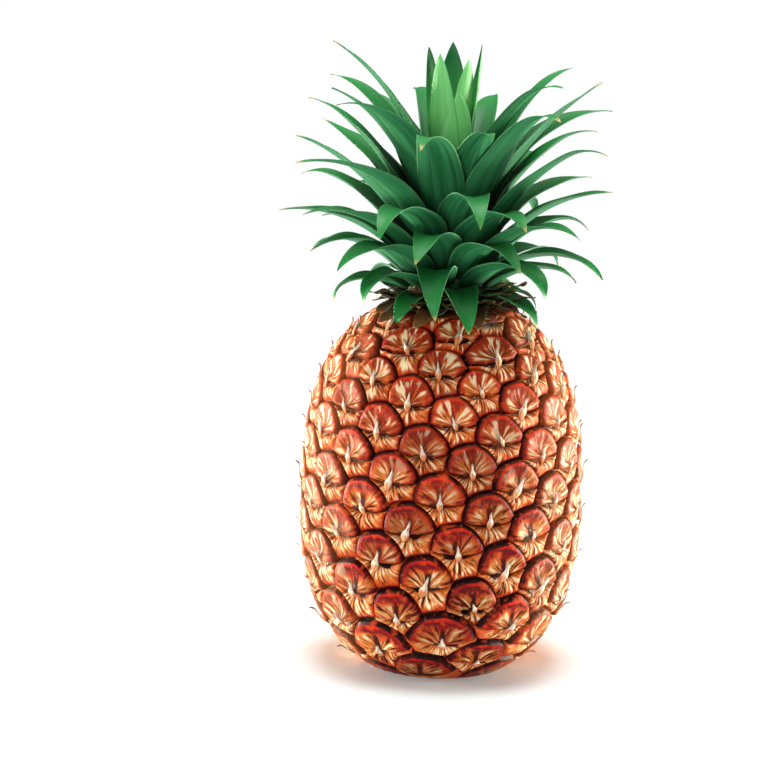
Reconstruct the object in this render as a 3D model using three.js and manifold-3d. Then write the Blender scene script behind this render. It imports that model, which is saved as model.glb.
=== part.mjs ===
// A ripe pineapple, as picked, standing on its cut base with its leafy crown on.
// Millimetres, +Z up. The origin is the middle of the cut face that it stands on.
//
// The eyes of the fruit and the leaves of the crown both follow one rule: each is set a golden
// angle further round than the one below it, which gives the 8, 13 and 21 spirals of the rind.

import * as THREE from "three";
import { ConvexHull } from "three/addons/math/ConvexHull.js";
import { mergeVertices } from "three/addons/utils/BufferGeometryUtils.js";
import Module from "manifold-3d";

const wasm = await Module();
wasm.setup();

// Fruit: its outline is two half ovals that meet at the widest ring
const FRUIT_RADIUS = 64;
const FRUIT_HEIGHT = 164;
const WIDEST_HEIGHT = 76;
const UPPER_REACH = 96;
const LOWER_REACH = 85.4;
const FULLNESS = 2.785;
const OUTLINE_STEPS = 2000;

// Eyes: counted over the whole closed outline, so the flat ends take a few plain cells of it
const GOLDEN_ANGLE = Math.PI * (3 - Math.sqrt(5));
const EYE_COUNT = 158;
const EYE_PHASE = THREE.MathUtils.degToRad(57.95);
const LOW_EYES_LARGER = 0.39;
const LARGER_FADES = 1.6;
const EYE_RISE = 3.4;
const BRACT_TIP_RISE = 2.6;
const BRACT_TIP_SHIFT = 3.4;
const SHOULDER_SHARE = 0.85;
const INNER_SHARE = 0.32;
const ARCH_SHARE = 0.56;
const ARCH_ROUNDNESS = 0.9;
const FLAT_END = 1.5;
const RELIEF_FADE = 12;

// Stalk: the stub of the fruit stalk, cut flush and standing in a socket in the base
const STALK_RADIUS = 12.5;
const STALK_DEPTH = 9;
const STALK_SIDES = 28;
const GAP = 0.4;

// Crown: a short stem with leaves from wide low ones to long steep ones round a pale heart
const LEAF_COUNT = 60;
const LEAF_PHASE = THREE.MathUtils.degToRad(20);
const LEAF_SECTIONS = 7;
const LEAF_THICKNESS = 1.5;
const LEAF_EDGE = 0.75;
const CROWN_FOOT = FRUIT_HEIGHT + GAP;
const CROWN_CORE = [[14, 0], [16, 6], [18, 16], [15, 30], [9, 40]];
const CORE_SIDES = 20;
// From the lowest leaf, at 0, to the innermost, at 1
const ROOT_HEIGHT = [[0, 1], [0.35, 6], [0.6, 14], [1, 30]];
const ROOT_RADIUS = [[0, 11], [0.5, 11], [1, 4]];
const LEAF_LENGTH = [[0, 38], [0.12, 52], [0.25, 66], [0.35, 71], [0.45, 75], [0.65, 88], [0.75, 98], [1, 99]];
const LEAF_WIDTH = [[0, 17], [0.15, 21], [0.4, 24], [0.8, 25], [1, 21]];
const RISE_AT_ROOT = [[0, 30], [0.12, 44], [0.25, 52], [0.4, 58], [0.6, 63], [0.8, 69], [1, 76]];
const RISE_AT_TIP = [[0, -55], [0.12, -50], [0.25, -42], [0.35, -30], [0.45, -14], [0.65, 12], [0.85, 26], [1, 40]];
const ARCH_FORE_AND_AFT = 40;
const LEAF_CLEARANCE = [[0, 2.2], [18, 2.6], [34, 6.5]];

// Heart: a few pale leaves of its own, the outermost one short and facing forward
const HEART_COUNT = 6;
const HEART_PHASE = THREE.MathUtils.degToRad(-75);
const HEART_FOOT = 38;
const HEART_CORE_RADIUS = 6;
const HEART_CORE_HEIGHT = 9;
const HEART_LENGTH = [56, 74, 76, 72, 76, 70];
const HEART_WIDTH = 13;

const mix = THREE.MathUtils.lerp;
const smoothstep = THREE.MathUtils.smoothstep;
const radians = THREE.MathUtils.degToRad;

// A repeatable number from -1 to 1 for item i, a different one for each purpose
function jitter(i, purpose) {
  const x = Math.sin(i * 12.9898 + purpose * 78.233) * 43758.5453;
  return 2 * (x - Math.floor(x)) - 1;
}

// The value at t on a line through a few stops
function along(stops, t) {
  const next = stops.findIndex(([at]) => at >= t);
  if (next <= 0) return stops[Math.max(next, 0)][1];
  const [[t0, v0], [t1, v1]] = [stops[next - 1], stops[next]];
  return mix(v0, v1, (t - t0) / (t1 - t0));
}

function geometryOf(positions, triangles) {
  const geometry = new THREE.BufferGeometry();
  geometry.setAttribute("position", new THREE.Float32BufferAttribute(positions, 3));
  geometry.setIndex(triangles);
  return geometry;
}

function solidOf(geometry) {
  const bare = geometry.clone().deleteAttribute("normal").deleteAttribute("uv");
  const merged = mergeVertices(bare, 1e-4);
  const mesh = new wasm.Mesh({
    numProp: 3,
    vertProperties: new Float32Array(merged.attributes.position.array),
    triVerts: new Uint32Array(merged.index.array),
  });
  return new wasm.Manifold(mesh);
}

// The largest closed skin of a solid: hollows sealed inside it are filled and loose scraps dropped
function outerSkin(solid) {
  return solid.decompose().reduce((best, skin) => (skin.volume() > best.volume() ? skin : best));
}

function geometryOfSolid(solid) {
  const { numProp, numVert, vertProperties, triVerts } = solid.getMesh();
  const positions = [];
  for (let i = 0; i < numVert; i++) {
    positions.push(...vertProperties.subarray(i * numProp, i * numProp + 3));
  }
  return geometryOf(positions, Array.from(triVerts)).toNonIndexed();
}

// The fruit's outline from its lowest pole to its highest. Each row has the height and radius, the
// surface area below it, and the stretch of a map that keeps angles true, which is 0 at the widest ring.
function traceOutline() {
  const rows = [];
  let area = 0;
  let stretch = 0;
  for (let i = 0; i <= OUTLINE_STEPS; i++) {
    const turn = Math.PI * (i / OUTLINE_STEPS - 0.5);
    const reach = turn > 0 ? UPPER_REACH : LOWER_REACH;
    const z = WIDEST_HEIGHT + reach * Math.sin(turn);
    const r = FRUIT_RADIUS * Math.sqrt(Math.max(0, 1 - Math.abs(Math.sin(turn)) ** FULLNESS));
    if (i > 0) {
      const last = rows[i - 1];
      const step = Math.hypot(z - last.z, r - last.r);
      area += Math.PI * (r + last.r) * step;
      stretch += (2 * step) / (r + last.r);
    }
    rows.push({ z, r, area, stretch });
  }
  const middle = rows[OUTLINE_STEPS / 2].stretch;
  for (const row of rows) row.stretch -= middle;
  return rows;
}

const OUTLINE = traceOutline();

// The outline's height and radius, and its outward normal, where the named column has this value
function onOutline(column, value) {
  let low = 0;
  let high = OUTLINE.length - 1;
  while (high - low > 1) {
    const half = (low + high) >> 1;
    if (OUTLINE[half][column] > value) high = half;
    else low = half;
  }
  const [a, b] = [OUTLINE[low], OUTLINE[high]];
  const part = THREE.MathUtils.clamp((value - a[column]) / (b[column] - a[column]), 0, 1);
  const slope = new THREE.Vector2(b.z - a.z, a.r - b.r).normalize();
  return { z: mix(a.z, b.z, part), r: mix(a.r, b.r, part), out: slope.x, up: slope.y, row: low + part };
}

// A direction on the unit ball stands for a point of the rind, by the map that keeps angles true
function directionAt(angle, stretch) {
  const girth = 1 / Math.cosh(stretch);
  return new THREE.Vector3(Math.cos(angle) * girth, Math.sin(angle) * girth, Math.tanh(stretch));
}

// The point of the rind for a direction, sunk or raised by a height in millimetres
function rindPoint(direction, height) {
  const angle = Math.atan2(direction.y, direction.x);
  const stretch = Math.atanh(THREE.MathUtils.clamp(direction.z, -0.99999, 0.99999));
  const { z, r, out, up } = onOutline("stretch", stretch);
  const relief = height * reliefShare(z);
  const girth = r + out * relief;
  const top = THREE.MathUtils.clamp(z + up * relief, 0, FRUIT_HEIGHT);
  return new THREE.Vector3(girth * Math.cos(angle), girth * Math.sin(angle), top);
}

// The eyes flatten out towards the two flat ends
function reliefShare(z) {
  const below = smoothstep(z, FLAT_END, RELIEF_FADE);
  const above = smoothstep(FRUIT_HEIGHT - z, FLAT_END, RELIEF_FADE);
  return below * above;
}

function eyeDirections() {
  const total = OUTLINE[OUTLINE_STEPS].area;
  return Array.from({ length: EYE_COUNT }, (_, i) => {
    const x = (i + 0.4) / EYE_COUNT;
    const share = x + LOW_EYES_LARGER * x * (1 - x) ** LARGER_FADES;
    const stretch = OUTLINE[Math.round(onOutline("area", share * total).row)].stretch;
    return directionAt(EYE_PHASE - i * GOLDEN_ANGLE, stretch);
  });
}

// For each eye, the numbers of its neighbours in order round it
function eyeNeighbours(directions) {
  const number = new Map(directions.map((direction, i) => [direction, i]));
  const following = directions.map(() => new Map());
  for (const face of new ConvexHull().setFromPoints(directions).faces) {
    const eyes = [0, 1, 2].map((side) => number.get(face.getEdge(side).head().point));
    eyes.forEach((eye, side) => following[eye].set(eyes[(side + 1) % 3], eyes[(side + 2) % 3]));
  }
  return following.map((next) => {
    const ring = [next.keys().next().value];
    while (ring.length < next.size) ring.push(next.get(ring.at(-1)));
    return ring;
  });
}

// How far the arch over an eye stands from its middle, as a share of the way to its neighbours
function archReach(eye, ring, directions) {
  const total = ring.reduce((sum, other) => sum + directions[eye].distanceTo(directions[other]), 0);
  return (ARCH_SHARE * total) / ring.length;
}

// The middle of a few eyes that meet, summed in one order so that each of them finds the same point
function meetingPoint(eyes, directions) {
  const sum = new THREE.Vector3();
  for (const eye of [...eyes].sort((a, b) => a - b)) sum.add(directions[eye]);
  return sum.normalize();
}

// The groove round an eye. Where eyes meet, the lowest of them keeps a round arch above it, so each
// eye is domed on top and narrows below between the arches of the next ones down.
function grooveRound(index, rings, directions) {
  const ring = rings[index];
  const onArch = (point, low) => {
    const away = point.clone().sub(directions[low]);
    const reach = archReach(low, rings[low], directions);
    return away.setLength(mix(away.length(), reach, ARCH_ROUNDNESS)).add(directions[low]).normalize();
  };
  return ring.flatMap((before, i) => {
    const next = ring[(i + 1) % ring.length];
    const after = ring[(i + 2) % ring.length];
    const corner = meetingPoint([index, before, next], directions);
    const nextCorner = meetingPoint([index, next, after], directions);
    const middle = corner.clone().add(nextCorner).normalize();
    return [onArch(corner, Math.min(index, before, next)), onArch(middle, Math.min(index, next))];
  });
}

// How far an eye stands up, from 0 in its groove to 1, at a share of the way out from its middle:
// a round-shouldered dome with a hollow above, and below it the slope of its bract
function eyeHeight(share, upness) {
  const dome = share > 0.68 ? 1 - ((share - 0.68) / 0.32) ** 3 : 0.62 + 0.38 * (share / 0.68) ** 2;
  const bract = 1 - share ** 1.8;
  return mix(bract, dome, smoothstep(upness, -0.25, 0.3));
}

// One eye: the groove, a shoulder ring, an inner ring with half as many points, and the bract's tip
function addEye(index, rings, directions, positions, triangles) {
  const centre = directions[index];
  const groove = grooveRound(index, rings, directions);
  const middle = rindPoint(centre, 0);
  const share = reliefShare(middle.z);
  const height = (ringShare, direction) => {
    const step = rindPoint(direction, 0).sub(middle);
    const upness = step.z / Math.max(step.length(), 1e-6);
    return EYE_RISE * (eyeHeight(ringShare, upness) - 1);
  };
  const put = (point) => positions.push(point.x, point.y, point.z) / 3 - 1;
  const ring = (ringShare, points) =>
    points.map((edge) => {
      const direction = centre.clone().lerp(edge, ringShare).normalize();
      return put(rindPoint(direction, height(ringShare, direction)));
    });
  const outer = groove.map((edge) => put(rindPoint(edge, -EYE_RISE)));
  if (share === 0) {
    const hub = put(middle);
    outer.forEach((a, i) => triangles.push(a, outer[(i + 1) % outer.length], hub));
    return;
  }
  const shoulder = ring(SHOULDER_SHARE, groove);
  const inner = ring(INNER_SHARE, groove.filter((_, i) => i % 2 === 1));
  const lean = new THREE.Vector3(0, 0, BRACT_TIP_SHIFT * share);
  const tip = put(rindPoint(centre, BRACT_TIP_RISE).add(lean));
  const count = outer.length;
  for (let i = 0; i < count; i++) {
    const j = (i + 1) % count;
    triangles.push(outer[i], outer[j], shoulder[j], outer[i], shoulder[j], shoulder[i]);
  }
  for (let i = 0; i < inner.length; i++) {
    const j = (i + 1) % inner.length;
    const [a, b, c] = [2 * i + 1, (2 * i + 2) % count, (2 * i + 3) % count];
    triangles.push(shoulder[a], shoulder[b], inner[i]);
    triangles.push(shoulder[b], inner[j], inner[i]);
    triangles.push(shoulder[b], shoulder[c], inner[j]);
    triangles.push(inner[i], inner[j], tip);
  }
}

// A closed round plug with flat ends, between two heights
function plug(radius, low, high, sides) {
  const profile = [[0, low], [radius, low], [radius, high], [0, high]];
  const turned = new THREE.LatheGeometry(profile.map((p) => new THREE.Vector2(...p)), sides);
  return turned.rotateX(Math.PI / 2);
}

function fruitGeometry() {
  const directions = eyeDirections();
  const rings = eyeNeighbours(directions);
  const positions = [];
  const triangles = [];
  directions.forEach((_, i) => addEye(i, rings, directions, positions, triangles));
  const socket = plug(STALK_RADIUS + GAP, -1, STALK_DEPTH + GAP, STALK_SIDES);
  const body = solidOf(geometryOf(positions, triangles));
  return geometryOfSolid(body.subtract(solidOf(socket)));
}

// The fruit's outline height at a distance from the axis, on its upper half
function shoulderHeight(radius) {
  if (radius >= FRUIT_RADIUS) return WIDEST_HEIGHT;
  const rise = (1 - (radius / FRUIT_RADIUS) ** 2) ** (1 / FULLNESS);
  return Math.min(FRUIT_HEIGHT, WIDEST_HEIGHT + UPPER_REACH * rise);
}

// The measures of leaf i of the crown, the lowest first
function crownLeaf(i) {
  const t = i / (LEAF_COUNT - 1);
  const azimuth = LEAF_PHASE - i * GOLDEN_ANGLE + 0.08 * jitter(i, 1);
  const arch = ARCH_FORE_AND_AFT * Math.sin(azimuth) ** 2;
  return {
    azimuth,
    root: CROWN_FOOT + along(ROOT_HEIGHT, t),
    length: along(LEAF_LENGTH, t) * (1 + 0.07 * jitter(i, 2)),
    width: along(LEAF_WIDTH, t) * (1 + 0.06 * jitter(i, 3)),
    riseAtRoot: radians(along(RISE_AT_ROOT, t) + 3 * jitter(i, 4)),
    riseAtTip: radians(along(RISE_AT_TIP, t) - arch + 12 * jitter(i, 5)),
    bend: 1.5 + 0.4 * jitter(i, 6),
    sway: 0.16 * jitter(i, 7),
    channel: 0.34,
    rootRadius: along(ROOT_RADIUS, t),
    fullness: 2.1,
  };
}

// The measures of leaf i of the heart: short, pale and nearly upright
function heartLeaf(i) {
  return {
    azimuth: HEART_PHASE - i * GOLDEN_ANGLE,
    root: CROWN_FOOT + HEART_FOOT + GAP + 3,
    length: HEART_LENGTH[i],
    width: HEART_WIDTH,
    riseAtRoot: radians(80 + i),
    riseAtTip: radians(86 + 3 * jitter(i, 9)),
    bend: 1.5,
    sway: 0.05 * jitter(i, 10),
    channel: 0.3,
    rootRadius: 2.4,
    fullness: 3,
  };
}

// Half the leaf's width at a share of its length: full at the root, then drawn to a long point
function halfWidth(leaf, share) {
  const clasp = mix(0.6, 1, smoothstep(share, 0.1, 0.45));
  return 0.5 * leaf.width * clasp * (1 - share ** leaf.fullness) ** 0.85;
}

// The leaf's middle line: it rises from the stem and arches over, and never dips into the fruit
function midrib(leaf, sections) {
  const steps = 42;
  const points = [];
  let out = leaf.rootRadius;
  let z = leaf.root;
  let turn = leaf.azimuth;
  for (let k = 0; k <= steps; k++) {
    const share = k / steps;
    if (k % (steps / sections) === 0) {
      const rest = shoulderHeight(out) + along(LEAF_CLEARANCE, Math.min(out, 34));
      points.push(new THREE.Vector3(out * Math.cos(turn), out * Math.sin(turn), Math.max(z, rest)));
    }
    const rise = mix(leaf.riseAtRoot, leaf.riseAtTip, share ** leaf.bend);
    const step = leaf.length / steps;
    out += step * Math.cos(rise);
    z += step * Math.sin(rise);
    turn += (leaf.sway * step) / leaf.length;
  }
  return points;
}

// A leaf blade: a shallow channel that is thick along its middle and thin at its edges
function bladeGeometry(leaf) {
  const spine = midrib(leaf, LEAF_SECTIONS);
  const positions = [];
  const triangles = [];
  for (let k = 0; k < LEAF_SECTIONS; k++) {
    const share = k / LEAF_SECTIONS;
    const run = spine[k + 1].clone().sub(spine[Math.max(k - 1, 0)]).normalize();
    const side = new THREE.Vector3(-Math.sin(leaf.azimuth), Math.cos(leaf.azimuth), 0);
    const face = new THREE.Vector3().crossVectors(run, side).normalize();
    const half = halfWidth(leaf, share);
    const raise = half * leaf.channel * (1 - 0.5 * share);
    const rows = [[-1, raise, LEAF_EDGE], [0, 0, LEAF_THICKNESS], [1, raise, LEAF_EDGE]];
    for (const layer of [0, -1]) {
      for (const [across, up, thick] of rows) {
        const point = spine[k].clone().addScaledVector(side, across * half);
        point.addScaledVector(face, up + layer * thick);
        positions.push(point.x, point.y, point.z);
      }
    }
  }
  const tip = positions.push(...spine[LEAF_SECTIONS]) / 3 - 1;
  const quad = (a, b, c, d) => triangles.push(a, b, c, a, c, d);
  for (let k = 0; k < LEAF_SECTIONS - 1; k++) {
    const [near, far] = [6 * k, 6 * (k + 1)];
    for (const col of [0, 1]) {
      quad(near + col, far + col, far + col + 1, near + col + 1);
      triangles.push(near + col + 3, far + col + 4, far + col + 3);
      triangles.push(near + col + 3, near + col + 4, far + col + 4);
    }
    quad(near, near + 3, far + 3, far);
    quad(near + 2, far + 2, far + 5, near + 5);
  }
  const last = 6 * (LEAF_SECTIONS - 1);
  for (const [a, b] of [[0, 1], [1, 2], [2, 5], [5, 4], [4, 3], [3, 0]]) {
    triangles.push(last + b, last + a, tip);
    if (a < 3 && b < 3) triangles.push(a, b, b + 3, a, b + 3, a + 3);
  }
  return geometryOf(positions, triangles);
}

function crownGeometry() {
  const profile = [[0, 0], ...CROWN_CORE, [0, CROWN_CORE.at(-1)[1]]];
  const turned = new THREE.LatheGeometry(profile.map((p) => new THREE.Vector2(...p)), CORE_SIDES);
  turned.rotateX(Math.PI / 2).translate(0, 0, CROWN_FOOT);
  let crown = solidOf(turned);
  for (let i = 0; i < LEAF_COUNT; i++) crown = crown.add(solidOf(bladeGeometry(crownLeaf(i))));
  const room = plug(HEART_CORE_RADIUS + 2.2, CROWN_FOOT + HEART_FOOT, 400, CORE_SIDES);
  return geometryOfSolid(outerSkin(crown.subtract(solidOf(room))));
}

function heartGeometry() {
  const foot = CROWN_FOOT + HEART_FOOT + GAP;
  let heart = solidOf(plug(HEART_CORE_RADIUS, foot, foot + HEART_CORE_HEIGHT, CORE_SIDES));
  for (let i = 0; i < HEART_COUNT; i++) heart = heart.add(solidOf(bladeGeometry(heartLeaf(i))));
  return geometryOfSolid(outerSkin(heart));
}

function stalkGeometry() {
  return plug(STALK_RADIUS, 0, STALK_DEPTH, STALK_SIDES);
}

function material(color, roughness) {
  return new THREE.MeshStandardMaterial({ color, roughness, metalness: 0, flatShading: true });
}

const pineapple = new THREE.Group();
for (const [name, geometry, finish] of [
  ["fruit", fruitGeometry(), material(0xc8642a, 0.5)],
  ["stalk", stalkGeometry(), material(0xc9b483, 0.85)],
  ["crown_leaves", crownGeometry(), material(0x1f6b35, 0.5)],
  ["crown_heart", heartGeometry(), material(0x7dbb6a, 0.55)],
]) {
  const mesh = new THREE.Mesh(geometry, finish);
  mesh.name = name;
  pineapple.add(mesh);
}

export default pineapple;
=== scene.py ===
# %% [markdown]
# # A ripe pineapple
# We dress a plain imported model of a pineapple so that it looks grown: a rind of waxy eyes, each
# with its dry papery bract, and a crown of channelled leaves. One rule places nearly all of it.
# Every eye and every leaf stands a golden angle further round than the one below it.

# The finished pineapple must stay as large as it.

import math

import bmesh
import bpy
import numpy as np
from mathutils import Matrix, Vector


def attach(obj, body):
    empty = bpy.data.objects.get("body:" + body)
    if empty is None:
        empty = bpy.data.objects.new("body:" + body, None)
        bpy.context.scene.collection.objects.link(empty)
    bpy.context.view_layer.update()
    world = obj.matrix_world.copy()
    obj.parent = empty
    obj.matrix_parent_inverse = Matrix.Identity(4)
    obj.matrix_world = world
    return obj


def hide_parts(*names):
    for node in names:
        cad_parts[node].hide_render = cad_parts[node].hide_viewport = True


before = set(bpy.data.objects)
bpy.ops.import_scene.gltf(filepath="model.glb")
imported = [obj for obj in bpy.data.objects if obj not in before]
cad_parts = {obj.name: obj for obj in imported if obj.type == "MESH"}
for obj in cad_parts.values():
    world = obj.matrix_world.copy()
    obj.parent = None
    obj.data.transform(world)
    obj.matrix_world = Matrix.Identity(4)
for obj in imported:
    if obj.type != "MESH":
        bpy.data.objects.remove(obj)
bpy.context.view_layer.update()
SCENE = bpy.context.scene
MM = 0.001

# %% [markdown]
# ## Small helpers
# Shader trees and geometry trees are filled in the same way: put a node, set its options, and join
# or fill its inputs. A socket knows its own tree, so the arithmetic on sockets reads like plain
# arithmetic.

# %% Node helpers


def put(tree, kind, inputs=None, **options):
    """Adds a node with these options, and joins or fills its inputs."""
    node = tree.nodes.new(kind)
    for name, value in options.items():
        setattr(node, name, value)
    for key, value in (inputs or {}).items():
        if isinstance(value, bpy.types.NodeSocket):
            tree.links.new(value, node.inputs[key])
        else:
            node.inputs[key].default_value = value
    return node


def take(tree, kind, inputs=None, **options):
    """Adds a node and returns its first output."""
    return put(tree, kind, inputs, **options).outputs[0]


def home(*values):
    """The tree that the sockets among these values are in."""
    return next(value.id_data for value in values if isinstance(value, bpy.types.NodeSocket))


def calc(operation, *values):
    """One step of arithmetic on numbers and sockets."""
    return take(home(*values), "ShaderNodeMath", dict(enumerate(values)), operation=operation)


def times(first, second):
    """The product of two numbers or sockets."""
    return calc("MULTIPLY", first, second)


def plus(first, second):
    """The sum of two numbers or sockets."""
    return calc("ADD", first, second)


def minus(first, second):
    """The first number or socket less the second."""
    return calc("SUBTRACT", first, second)


def ease(value, low, high, start=0.0, end=1.0):
    """Goes smoothly from start to end while value goes from low to high."""
    inputs = {"Value": value, "From Min": low, "From Max": high, "To Min": start, "To Max": end}
    node = put(home(value), "ShaderNodeMapRange", inputs, interpolation_type="SMOOTHSTEP")
    return node.outputs["Result"]


def wander(value, pattern, amount):
    """Moves a value a little by a random pattern."""
    return plus(value, times(minus(pattern, 0.5), amount))


def distance(x, y):
    """The length of the way that goes x across and y up."""
    return calc("SQRT", plus(times(x, x), times(y, y)))


def vector(x, y, z):
    """Three numbers or sockets as one vector."""
    return take(home(x, y, z), "ShaderNodeCombineXYZ", {0: x, 1: y, 2: z})


def axes(place):
    """The three numbers of a vector."""
    return put(home(place), "ShaderNodeSeparateXYZ", {0: place}).outputs


def scaled(direction, amount):
    """A direction times an amount."""
    inputs = {0: direction, "Scale": amount}
    return take(home(direction), "ShaderNodeVectorMath", inputs, operation="SCALE")


def noise(place, scale, detail=3.0):
    """Soft random patches from 0 to 1."""
    inputs = {"Vector": place, "Scale": scale, "Detail": detail}
    return take(home(place), "ShaderNodeTexNoise", inputs)


# %% [markdown]
# Colours are written as a paint program shows them and turned into the linear light that Blender
# works in. The other three helpers put an object in the scene and take finished meshes.

# %% Colours, objects and meshes


def linear(red, green, blue):
    """A screen colour, 0 to 255, as the linear colour of a node."""

    def straighten(value):
        value /= 255
        return value / 12.92 if value <= 0.04045 else ((value + 0.055) / 1.055) ** 2.4

    return (straighten(red), straighten(green), straighten(blue), 1.0)


def add_object(name, data):
    """A new object in the scene."""
    item = bpy.data.objects.new(name, data)
    SCENE.collection.objects.link(item)
    return item


def mesh_of(shape, name):
    """The mesh of an edited shape, which is then freed."""
    mesh = bpy.data.meshes.new(name)
    shape.to_mesh(mesh)
    shape.free()
    return mesh


def evaluated(piece):
    """The mesh of an object with its modifiers."""
    depsgraph = bpy.context.evaluated_depsgraph_get()
    return bpy.data.meshes.new_from_object(piece.evaluated_get(depsgraph))


# %% [markdown]
# ## The camera
# The photograph looks down on the fruit by about 14 degrees from a little over a metre away. A long
# lens is aimed so that the fruit's widest ring falls on the same pixel as in the picture. The camera
# also rolls a little, because the fruit there leans to the right, while the model stands upright.

# %% Camera
FRAME_PIXELS = 768
METRES_PER_PIXEL = 0.457 * MM
CAMERA_DISTANCE = 1.2
CAMERA_ELEVATION = math.radians(13.9)
CAMERA_ROLL = math.radians(1.87)
AIM_POINT = Vector((0, 0, 76 * MM))
AIM_PIXEL = (440.5, 496.3)
SENSOR_WIDTH = 36.0


def set_camera():
    """Stands the camera so that the aim point falls on its pixel."""
    right, down = ((at - FRAME_PIXELS / 2) * METRES_PER_PIXEL / CAMERA_DISTANCE for at in AIM_PIXEL)
    offset = Matrix.Rotation(CAMERA_ROLL, 2) @ Vector((right, -down))
    camera = add_object("camera", bpy.data.cameras.new("camera"))
    camera.data.sensor_width = SENSOR_WIDTH
    camera.data.lens = SENSOR_WIDTH * CAMERA_DISTANCE / (FRAME_PIXELS * METRES_PER_PIXEL)
    away = Vector((0, -math.cos(CAMERA_ELEVATION), math.sin(CAMERA_ELEVATION)))
    turn = Matrix.Rotation(math.radians(90) - CAMERA_ELEVATION, 4, "X")
    turn = turn @ Matrix.Rotation(math.atan(offset.x), 4, "Y")
    turn = turn @ Matrix.Rotation(-math.atan(offset.y), 4, "X")
    turn = turn @ Matrix.Rotation(CAMERA_ROLL, 4, "Z")
    camera.matrix_world = Matrix.Translation(AIM_POINT + CAMERA_DISTANCE * away) @ turn
    SCENE.camera = camera
    return camera


camera = set_camera()
camera_place = [round(value, 3) for value in camera.matrix_world.translation]
print("camera at", camera_place, "lens", round(camera.data.lens, 1))

# %% [markdown]
# ## Floor and light
# The picture was taken on a white table. A wide light hangs straight above, which keeps the table
# white and the shadow soft and close to the base. A second light stands low in front, to the left.
# Two narrow ones, slightly yellow, stand low beside the fruit and a little behind it. They are why
# both of its edges shine pale while its middle keeps deep colour, and their beams spare the crown.
# The camera sees a white room, but less light than that comes from it. The floor is a little cool,
# because the light that the fruit throws on it is red.

# %% Floor and lights
SCENE.view_settings.view_transform = "Standard"
ROOM_LIGHT = 0.3
FLOOR_SIZE = 0.9
FLOOR_COLOR = (0.86, 0.94, 0.97, 1)
LIT_POINT = (0, 0, 0.1)
SIDE_LIGHTS = (("side_light_left", -0.85, 1.9), ("side_light_right", 0.85, 2.0))
SIDE_BEAM = 45
PALE_YELLOW = (1.0, 0.99, 0.86)


def set_world():
    """A room that looks white and lights softly."""
    world = bpy.data.worlds.new("white_room")
    world.use_nodes = True
    tree = world.node_tree
    background = tree.nodes["Background"]
    background.inputs["Color"].default_value = (1, 1, 1, 1)
    seen = put(tree, "ShaderNodeLightPath").outputs["Is Camera Ray"]
    tree.links.new(ease(seen, 0.0, 1.0, ROOM_LIGHT), background.inputs["Strength"])
    SCENE.world = world


def soft_box(name, place, target, size, watts, spread=180, color=(1, 1, 1)):
    """An area light that faces its target, with the width of its beam in degrees."""
    light = bpy.data.lights.new(name, "AREA")
    light.color = color
    light.shape = "RECTANGLE"
    light.size, light.size_y = size
    light.energy = watts
    light.spread = math.radians(spread)
    lamp = add_object(name, light)
    lamp.location = place
    lamp.rotation_euler = (Vector(target) - Vector(place)).to_track_quat("-Z", "Y").to_euler()


def new_material(name, **constants):
    """A material with an empty recipe and constants set on its shader."""
    material = bpy.data.materials.new(name)
    material.use_nodes = True
    skin = material.node_tree.nodes["Principled BSDF"]
    for label, value in constants.items():
        skin.inputs[label.replace("_", " ")].default_value = value
    return material, material.node_tree, skin


def make_floor():
    """A pale sheet under the fruit."""
    mesh = bpy.data.meshes.new("floor")
    half = FLOOR_SIZE / 2
    corners = [(-half, -half, 0), (half, -half, 0), (half, half, 0), (-half, half, 0)]
    mesh.from_pydata(corners, [], [(0, 1, 2, 3)])
    constants = {"Base_Color": FLOOR_COLOR, "Roughness": 0.8, "Specular_IOR_Level": 0.2}
    mesh.materials.append(new_material("floor_white", **constants)[0])
    floor = add_object("floor", mesh)


set_world()
make_floor()
soft_box("overhead_light", (0, 0, 1.3), (0, 0, 0), (0.8, 0.8), 21)
soft_box("front_light", (-0.5, -1.1, 0.3), LIT_POINT, (0.9, 0.5), 7.6)
for name, x, watts in SIDE_LIGHTS:
    soft_box(name, (x, 0.32, 0.04), LIT_POINT, (0.4, 0.07), watts, SIDE_BEAM, PALE_YELLOW)

# %% [markdown]
# ## The outline and the spiral
# A pineapple's side view is two half ovals that meet at its widest ring. We trace that outline once
# and keep tables of height, radius and surface area. Sharing the area out evenly gives each eye its
# height, and the golden angle gives its direction, so the 8, 13 and 21 spirals appear by themselves.
#
# To find which eyes touch, the rind is mapped to a ball in the way a good globe map works, with true
# angles. There the nearest neighbours are the edges of a convex hull.

# %% Outline and spiral
GOLDEN_ANGLE = math.pi * (3 - math.sqrt(5))
FRUIT_RADIUS = 64 * MM
FRUIT_HEIGHT = 164 * MM
WIDEST_HEIGHT = 76 * MM
UPPER_REACH = 96 * MM
LOWER_REACH = 85.4 * MM
FULLNESS = 2.785
OUTLINE_STEPS = 2000
EYE_COUNT = 158
EYE_PHASE = math.radians(57.95)
LOW_EYES_LARGER = 0.39
LARGER_FADES = 1.6
FIRST_EYE = 0.4
POLE_LIMIT = 0.99999


def trace_outline():
    """Tables up the outline: height, radius, area below, and stretch on the map with true angles."""
    turn = np.pi * (np.arange(OUTLINE_STEPS + 1) / OUTLINE_STEPS - 0.5)
    z = WIDEST_HEIGHT + np.where(turn > 0, UPPER_REACH, LOWER_REACH) * np.sin(turn)
    r = FRUIT_RADIUS * np.sqrt(np.maximum(0, 1 - np.abs(np.sin(turn)) ** FULLNESS))
    step = np.hypot(np.diff(z), np.diff(r))
    girth = r[1:] + r[:-1]
    area = np.concatenate([[0], np.cumsum(np.pi * girth * step)])
    stretch = np.concatenate([[0], np.cumsum(2 * step / girth)])
    slope = np.arctan2(-np.gradient(r), np.gradient(z))
    return {"z": z, "r": r, "area": area, "stretch": stretch - stretch[OUTLINE_STEPS // 2], "slope": slope}


OUTLINE = trace_outline()


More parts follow.
